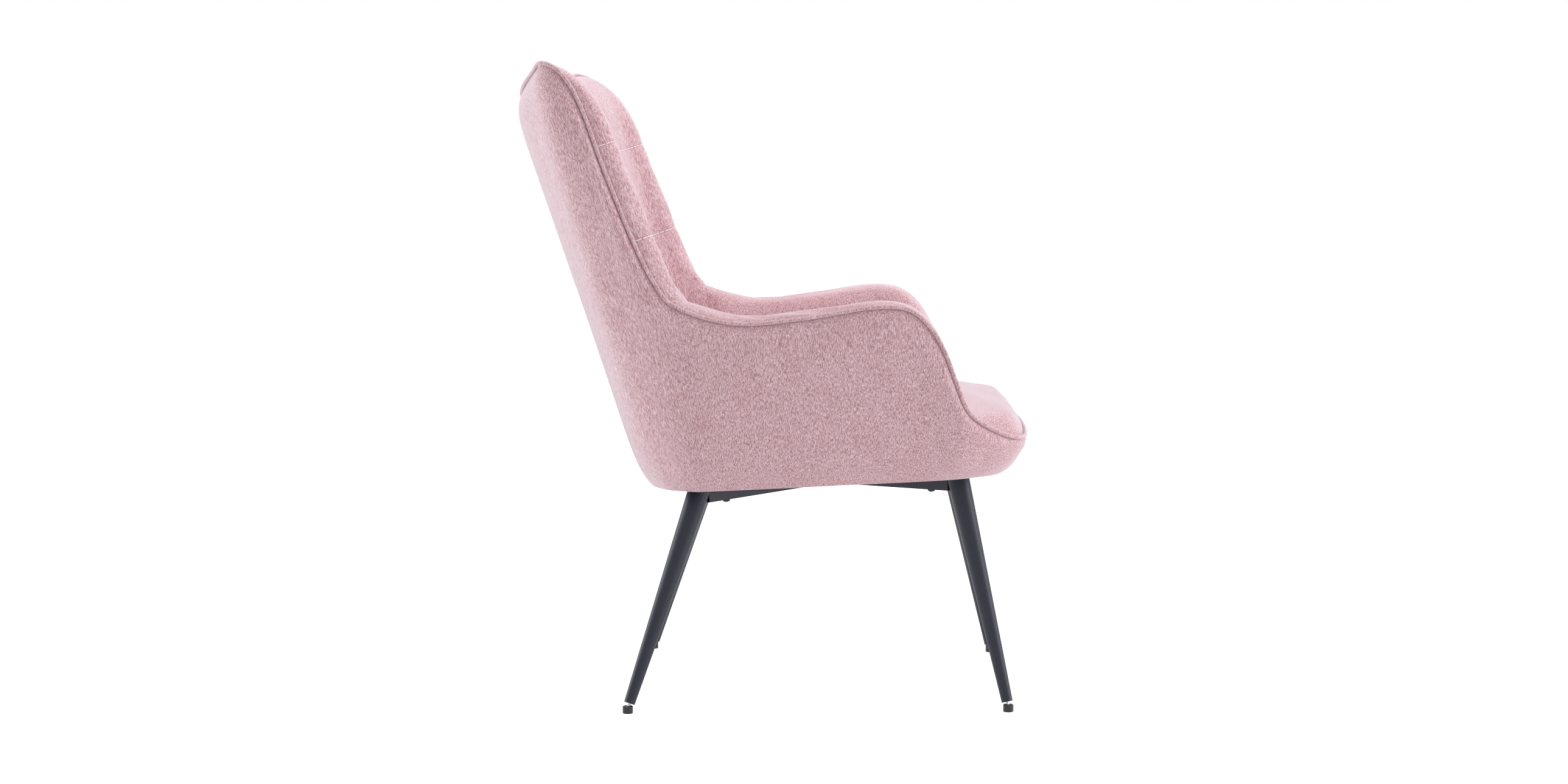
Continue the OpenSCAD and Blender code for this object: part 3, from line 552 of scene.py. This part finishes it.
def crown_of(u):
    """How far the padding's crown stands past the edge."""
    return soft_table(u, [(0, 8), (3, 8), (4, 10), (5, 24), (6, 28), (7, 28), (8.3, 17), (10.5, 14),
                          (12, 11), (15, 11), (16.6, 3), (LAST, 3)])


def fall_of(u):
    """How far the crown falls below the edge where it meets the inner face."""
    return soft_table(u, [(0, 0), (1.2, 4), (2.2, 22), (3, 46), (4, 40), (5, 14), (6, 2), (7, 0)])


# the seam between the back and an arm starts at the welt and runs forward as
# it goes down, by this many knots; the crown takes this share of a cover's rows
SLANT = 0.6
CROWN_SHARE = 0.26


def inner_wall(u, b):
    """The inner cover from the welt, at 0, over the crown and down to under the seat, at 1."""
    f = folded(u)
    drawn = groove(f, SEAM + SLANT * b, 3.0, 5)
    wall, crown, fall = wall_of(f) - drawn, crown_of(f) - 0.6 * drawn, fall_of(f)
    tall = along(EDGE, f)[..., 2] - along(RIM, f)[..., 2]
    # the crown: up from the welt, over the wall's thickness and round a lip into the face
    start = 0.8
    k = np.clip(b / CROWN_SHARE, 0, 1)
    share = (1 - np.cos(np.pi * k)) / 2
    lip = table(f, [(0, 20), (3, 20), (4.5, 0)])
    turn = lip * (1 - np.sqrt(1 - np.clip(2 * share - 1, 0, 1) ** 2))
    top = past(u, np.maximum(crown, 0.4) * np.sin(np.pi * k) ** 0.8 + 0.4,
               start + (wall - start) * share, fall * share ** 2 + turn)
    # the face: from 24 mm below the crown's end to just over the seat board
    high = 1 - (fall + 24) / tall
    low = 22.5 / tall
    j = np.clip((b - CROWN_SHARE) / (1 - CROWN_SHARE), 0, 1)
    first = np.clip(j / 0.05, 0, 1)[..., None]
    lower = inside(u, high + (low - high) * np.clip((j - 0.05) / 0.95, 0, 1), wall)
    end = past(u, np.full_like(u, 0.4), wall, fall + lip)
    down = end + (inside(u, high, wall) - end) * first
    return np.where((b <= CROWN_SHARE)[..., None], top,
                    np.where((j < 0.05)[..., None], down, lower))


def between(u0, u1):
    """Knot numbers for a cover whose ends follow slanting seams; each end may slant."""
    by_length = knots_by_length(u0, u1, wall_of)

    def place(a, b):
        first = u0 + (SLANT * b if abs(u0) == SEAM else 0) * np.sign(u0)
        last = u1 + (SLANT * b if abs(u1) == SEAM else 0) * np.sign(u1)
        even = by_length(a)
        return first + (even - u0) / (u1 - u0) * (last - first)
    return place


def settle(made, held, pressure, spare, cap):
    """Lets a cover swell over its foam as cloth does, held along its seams, and keeps the result.

    The spare cloth is a share of its size, and cap gives the most that each point may move.
    """
    mesh = made.data
    start = np.array([v.co for v in mesh.vertices])
    frames = 20
    group = made.vertex_groups.new(name="held")
    group.add([int(i) for i in held], 1.0, "REPLACE")
    cloth = made.modifiers.new("settle", "CLOTH")
    settings = cloth.settings
    settings.quality = 6
    settings.mass = 0.3
    settings.air_damping = 1.0
    settings.tension_stiffness = settings.compression_stiffness = 25
    settings.shear_stiffness = 12
    settings.bending_stiffness = 1.5
    settings.use_pressure = True
    settings.uniform_pressure_force = pressure
    # an open sheet holds no volume, so only the plain pressure acts
    settings.use_pressure_volume, settings.target_volume = True, 0.0
    settings.vertex_group_mass = "held"
    settings.shrink_min = -spare
    settings.effector_weights.gravity = 0
    cloth.collision_settings.use_collision = False
    cloth.point_cache.frame_start, cloth.point_cache.frame_end = 1, frames
    for number in range(1, frames + 1):
        scene.frame_set(number)
    swollen = made.evaluated_get(bpy.context.evaluated_depsgraph_get()).data
    end = np.array([v.co for v in swollen.vertices])
    made.modifiers.remove(cloth)
    made.vertex_groups.remove(group)
    scene.frame_set(1)
    moved = end - start
    far = np.linalg.norm(moved, axis=1, keepdims=True)
    most = cap(start)[:, None]
    end = start + moved * most * np.tanh(far / most) / np.maximum(far, 1e-9)
    mesh.vertices.foreach_set("co", end.astype(np.float32).ravel())
    mesh.update()
    rounding = made.modifiers.new("smooth", "SUBSURF")
    rounding.levels = rounding.render_levels = 1


# the level seams lie square to the back's lean, 146 mm apart along it; two
# more run up it, 87 mm either side of its middle
LEAN = Vector((0, math.sin(BACK_LEAN), math.cos(BACK_LEAN)))
ROWS_AT = (0.595, 0.741, 0.887)
COLUMNS_AT = (-0.087, 0.087)


def sew(bm, planes, deep, wide):
    """Cuts exact lines where the planes pass and draws the cloth in along them, in metres."""
    for point, normal in planes:
        bmesh.ops.bisect_plane(bm, geom=bm.verts[:] + bm.edges[:] + bm.faces[:], dist=0.0012,
                               plane_co=point, plane_no=normal, use_snap_center=True)
    bm.normal_update()
    bm.verts.ensure_lookup_table()
    places = np.array([v.co for v in bm.verts])
    normals = np.array([v.normal for v in bm.verts])
    near = np.min([np.abs((places - np.array(p)) @ np.array(n)) for p, n in planes], axis=0)
    hem = [v.co for v in bm.verts if v.is_boundary]
    hem_tree = KDTree(len(hem))
    for k, place in enumerate(hem):
        hem_tree.insert(place, k)
    hem_tree.balance()
    from_hem = np.array([hem_tree.find(v.co)[2] for v in bm.verts])
    drawn = deep(places) * np.exp(-near / wide) * np.clip(from_hem / 0.03, 0, 1)
    for vert, move in zip(bm.verts, -normals * drawn[:, None]):
        if not vert.is_boundary:
            vert.co += Vector(move)
    return np.nonzero(near < 1e-5)[0]


def boundary_of(bm):
    """The vertices along a sheet's hem."""
    return [v.index for v in bm.verts if v.is_boundary]


def eased(points, b, across, down):
    """Foam makes a cover's turns gentle, across and down; at the welt it keeps its line."""
    share = 0.5 * np.clip((b[:, 1:-1] - 0.02) / 0.2, 0, 1)[..., None]
    for _ in range(across):
        middle = (points[:, :-2] + points[:, 2:]) / 2
        points[:, 1:-1] += share * (middle - points[:, 1:-1])
    share = 0.5 * np.clip((b[1:-1] - 0.1) / 0.1, 0, 1)[..., None]
    for _ in range(down):
        middle = (points[:-2] + points[2:]) / 2
        points[1:-1] += share * (middle - points[1:-1])
    return points


def fullness(places, middle, hollow, wings):
    """A length that is greatest over the middle's thick foam and least in the hollows beside it."""
    return np.interp(np.abs(places[:, 0]), [0.12, 0.175, 0.255, 0.285],
                     [middle, hollow, hollow, wings])


feet = Vector((0, feet_y, 0))
STITCH = 0.0045


def seam_stitches_and_painted_shade(tree, cloth):
    """Pale lock-stitch dashes 4.5 mm long run along each sewn line. Their pale colour is partly
    thread and partly painted light from the seam's folded edges, set in a narrow band of painted
    shade.
    """
    place = add(tree, "ShaderNodeTexCoord").outputs["Object"]
    up = add(tree, "ShaderNodeVectorMath", {0: place, 1: tuple(LEAN)},
             operation="DOT_PRODUCT").outputs["Value"]
    side = add(tree, "ShaderNodeSeparateXYZ", {0: place}).outputs[0]

    def away(value, spot):
        off = add(tree, "ShaderNodeMath", {0: value, 1: spot}, operation="SUBTRACT").outputs[0]
        return add(tree, "ShaderNodeMath", {0: off}, operation="ABSOLUTE").outputs[0]

    def nearest(values, spots):
        near = away(values, spots[0])
        for spot in spots[1:]:
            near = add(tree, "ShaderNodeMath", {0: near, 1: away(values, spot)},
                       operation="MINIMUM").outputs[0]
        return near

    def stitches_and_edge_highlight(near, run):
        line = add(tree, "ShaderNodeMapRange",
                   {"Value": near, "From Min": 0.0006, "From Max": 0.0011, "To Min": 1.0,
                    "To Max": 0.0}).outputs[0]
        beat = add(tree, "ShaderNodeMath", {0: run, 1: 2 * math.pi / STITCH},
                   operation="MULTIPLY").outputs[0]
        beat = add(tree, "ShaderNodeMath", {0: beat}, operation="SINE").outputs[0]
        beat = add(tree, "ShaderNodeMapRange",
                   {"Value": beat, "From Min": -0.9, "From Max": -0.5}).outputs[0]
        return add(tree, "ShaderNodeMath", {0: line, 1: beat}, operation="MULTIPLY").outputs[0]

    rows = nearest(up, [feet.dot(LEAN) + h for h in ROWS_AT])
    columns = nearest(side, COLUMNS_AT)
    both = add(tree, "ShaderNodeMath", {0: rows, 1: columns}, operation="MINIMUM").outputs[0]
    # painted shade: the cloth beside each sewn line is darkened toward a deep rose, standing in for
    # the shade in its groove
    painted_crease_shade = add(tree, "ShaderNodeMapRange", {"Value": both, "From Min": 0.0008, "From Max": 0.0035,
                 "To Min": 0.35, "To Max": 0.0}, interpolation_type="SMOOTHSTEP").outputs[0]
    cloth_with_painted_shade = add(tree, "ShaderNodeMixRGB",
                  {"Fac": painted_crease_shade, "Color1": cloth, "Color2": linear("#93696c")}).outputs[0]
    # the pale dashes are partly thread colour and partly a painted highlight of the light that the
    # seam's folded edges catch
    thread = add(tree, "ShaderNodeMath", {0: stitches_and_edge_highlight(rows, side), 1: stitches_and_edge_highlight(columns, up)},
                 operation="MAXIMUM").outputs[0]
    thread = add(tree, "ShaderNodeMath", {0: thread, 1: 0.8}, operation="MULTIPLY").outputs[0]
    return add(tree, "ShaderNodeMixRGB",
               {"Fac": thread, "Color1": cloth_with_painted_shade, "Color2": linear("#f3e4e9")}).outputs[0]


SEAT_SPACE = (0, -0.12, 0.68)
knot_back = between(-SEAM, SEAM)
bm = upholstery(200, 120, lambda a, b: eased(inner_wall(knot_back(a, b), b), b, 50, 24),
                smooth=6, heart=SEAT_SPACE, faces_heart=True)
planes = [(feet + LEAN * h, LEAN) for h in ROWS_AT]
planes += [(Vector((x, 0, 0)), Vector((1, 0, 0))) for x in COLUMNS_AT]
sewn = sew(bm, planes, lambda places: fullness(places, 0.004, 0.0025, 0.002), 0.005)
bm.verts.index_update()
held = list(sewn) + boundary_of(bm)
# the quilted cover carries painted shade and painted edge highlights along its sewn lines
quilted_cloth = woven_cloth("woven_melange_polyester_quilted", BACK_LEAN, seam_stitches_and_painted_shade)
inner_back = piece("inner_back", bm, quilted_cloth)
settle(inner_back, held, pressure=5.0, spare=0.004,
       cap=lambda places: fullness(places, 0.009, 0.0008, 0.003))
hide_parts("back_cover_inner", "back_foam")
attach(inner_back, "chair")


# ---- Inner arms ----
# Each arm has its own inner cover over foam, sewn to the back along a
# slanting seam.

knot_arm = between(SEAM, ARM_END + 0.8)
for side, name in ((1, "left"), (-1, "right")):
    turned = np.array([side, 1, 1])
    bm = upholstery(110, 90, lambda a, b: eased(inner_wall(knot_arm(a, b), b), b, 20, 8) * turned,
                    smooth=5, heart=SEAT_SPACE, faces_heart=True)
    held = boundary_of(bm)
    arm = piece("inner_arm_" + name, bm, pink_cloth)
    settle(arm, held, pressure=3.0, spare=0.002, cap=lambda places: np.full(len(places), 0.0018))
    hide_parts("arm_cover_" + name, "arm_foam_" + name)
    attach(arm, "chair")


# ---- Seat ----
# The seat is one thick block of foam under a single cover that rolls over its
# front edge down to the welt and tucks in beside the arms and the back.

# the seat's brim in knots, from the middle of the front along the left arm to
# the middle of the back, and on along the right arm
ring = np.concatenate([np.linspace(LAST, ARM_END + 0.15, 60), np.linspace(ARM_END + 0.06, 13, 40),
                       np.linspace(12.9, 9, 30), np.linspace(8.9, 0, 60)])
ring = np.concatenate([ring, -ring[-2:0:-1]])
front = np.abs(ring) > ARM_END + 0.1
f = np.abs(ring)
rim, edge = along(RIM, f), along(EDGE, f)
tall = edge[:, 2] - rim[:, 2]
# beside the arms and the back the cover tucks in at this height
BRIM_Z = 436
share = np.where(front, 1.0, (BRIM_Z - rim[:, 2]) / tall)
brim = inside(f, share, np.where(front, 1.2, wall_of(f) - 6))
brim[:, 0] *= np.where(ring < 0, -1.0, 1.0)
closed = np.vstack([brim, brim[:1]])
way = np.concatenate([[0], np.cumsum(np.linalg.norm(np.diff(closed, axis=0), axis=1))])

# heights on rings about the seat's middle, at even steps round each
MIDDLE_Y = -150
STEPS, RINGS = 720, 60
CROWN_Z, CROWN_FALL = 464, 22
steps_round = np.linspace(0, 1, STEPS, endpoint=False)
round_brim = np.stack([np.interp(steps_round, way / way[-1], closed[:, k]) for k in range(3)], -1)
is_front = np.interp(steps_round, way / way[-1], np.concatenate([front, front[:1]]).astype(float))


def spread(values, width):
    """Averages values round the ring, over a width in steps."""
    reach = np.arange(-int(3 * width) - 1, int(3 * width) + 2)
    weights = np.exp(-0.5 * (reach / max(width, 1e-3)) ** 2)
    return sum(w * np.roll(values, k) for w, k in zip(weights, reach)) / weights.sum()


front_share = spread(is_front, 14)
ring_heights = []
for s in np.linspace(1, 0, RINGS + 1):
    inward_by = (1 - s) * np.hypot(round_brim[:, 0], round_brim[:, 1] - MIDDLE_Y)
    # a full round front edge, and softer sides that sink beside the arms
    forward = np.interp(inward_by, [0, 4, 8, 15, 22, 29, 36, 45, 60, 75, 95, 120, 160, 220],
                        [0, 0.18, 0.34, 0.56, 0.70, 0.75, 0.745, 0.705, 0.68, 0.695, 0.75, 0.825,
                         0.925, 1])
    sideways = (1 - (1 - np.minimum(inward_by / 60.0, 1)) ** 2.4) ** 0.75
    roll = sideways + (forward - sideways) * front_share
    crown = CROWN_Z - CROWN_FALL * (round_brim[:, 0] * s / ARM_X) ** 2
    height = round_brim[:, 2] + (crown - round_brim[:, 2]) * roll
    ring_heights.append(spread(height, 260 * (1 - s)) if s < 1 else height)
ring_heights = np.array(ring_heights)


def seat_top(a, b):
    """The seat's cover: squares about a sheet's middle become rings about the seat's middle."""
    x, y = 2 * a - 1, 2 * b - 1
    s = np.maximum(np.abs(x), np.abs(y))
    s1 = np.maximum(s, 1e-6)
    # the share of the way round, from the middle of the front, toward the left side
    px, py = x / s1, y / s1
    turn = np.where(py <= -1 + 1e-6, px,
                    np.where(px >= 1 - 1e-6, 2 + py, np.where(py >= 1 - 1e-6, 4 - px, 6 - py)))
    turn = (turn % 8) / 8
    rim_point = np.stack([np.interp(turn, way / way[-1], closed[:, k]) for k in range(3)], -1)
    t = turn * STEPS
    i, t = np.floor(t).astype(int), t - np.floor(t)
    k = (1 - s) * RINGS
    j = np.minimum(np.floor(k).astype(int), RINGS - 1)
    k = k - j

    def on_ring(j):
        return ring_heights[j, i % STEPS] * (1 - t) + ring_heights[j, (i + 1) % STEPS] * t

    height = on_ring(j) * (1 - k) + on_ring(j + 1) * k
    y = MIDDLE_Y + (rim_point[..., 1] - MIDDLE_Y) * s
    return np.stack([rim_point[..., 0] * s, y, height], -1)


bm = upholstery(120, 120, seat_top, smooth=3, heart=(0, 0, 0), level=False)
held = boundary_of(bm)
seat = piece("seat", bm, pink_cloth)
settle(seat, held, pressure=3.0, spare=0.001, cap=lambda places: np.full(len(places), 0.004))
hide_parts("seat_cover", "seat_foam")
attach(seat, "chair")


# ---- Welts ----
# A cord wrapped in a bias strip of the same cloth is sewn into the edge all
# round, in two lengths that meet at the side seams.

# the welt's radius, and how far its middle lies past the edge and out of the wall
WELT_R, WELT_PAST, WELT_OUT = 3.0, 3.3, 1.5


def piping(name, u0, u1, columns, node):
    """A round welt along the edge, in place of a CAD node; its map runs along and round it."""
    to_knot = knots_by_length(u0, u1)

    def place(a, b):
        u = to_knot(a)
        centre = past(u, np.full_like(u, WELT_PAST), np.full_like(u, -WELT_OUT))
        run = unit(np.gradient(centre, axis=1))
        out = mirrored(outward(folded(u)), u)
        out = unit(out - run * (run * out).sum(-1, keepdims=True))
        up = np.cross(run, out)
        angle = 2 * np.pi * b[..., None]
        return centre + WELT_R * (np.cos(angle) * out + np.sin(angle) * up)

    bm = upholstery(columns, 14, place, smooth=0, level=False)
    bmesh.ops.remove_doubles(bm, verts=bm.verts, dist=0.00005)
    bmesh.ops.recalc_face_normals(bm, faces=bm.faces)
    made = piece(name, bm, pink_cloth)
    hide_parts(node)
    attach(made, "chair")


# the two lengths end this part of a knot short of the side seams
WELT_END = 0.003
piping("welt_upper", -SEAM + WELT_END, SEAM - WELT_END, 420, "welt_back")
piping("welt_lower", SEAM + WELT_END, 2 * LAST - SEAM - WELT_END, 560, "welt_front")


# ---- Underframe ----
# Four tapered steel legs are welded to crossed box bars. All of it is powder
# coated black, bolted up into the seat board and levelled on nylon glides.

coat, tree = material("black_powder_coat")
grit, colour = grained(tree, (0.9, 0.9, 0.9), 2.0, "#151524", "#1e1e31")
shaded(tree, colour, 0.45, grit, 0.3, 0.0002, **{"Specular IOR Level": 0.4})
finish_node([n for n in nodes if n.startswith(("leg_front", "leg_rear", "cross_bar"))]
            + ["frame_bolts", "frame_washers"], coat)

nylon, tree = material("moulded_black_nylon")
grit, colour = grained(tree, (0.6, 0.6, 0.6), 2.0, "#19191c", "#242428")
shaded(tree, colour, 0.5, grit, 0.2, 0.0001)
finish_node([n for n in nodes if n.startswith("glide_pad")] + ["leg_plugs"], nylon)
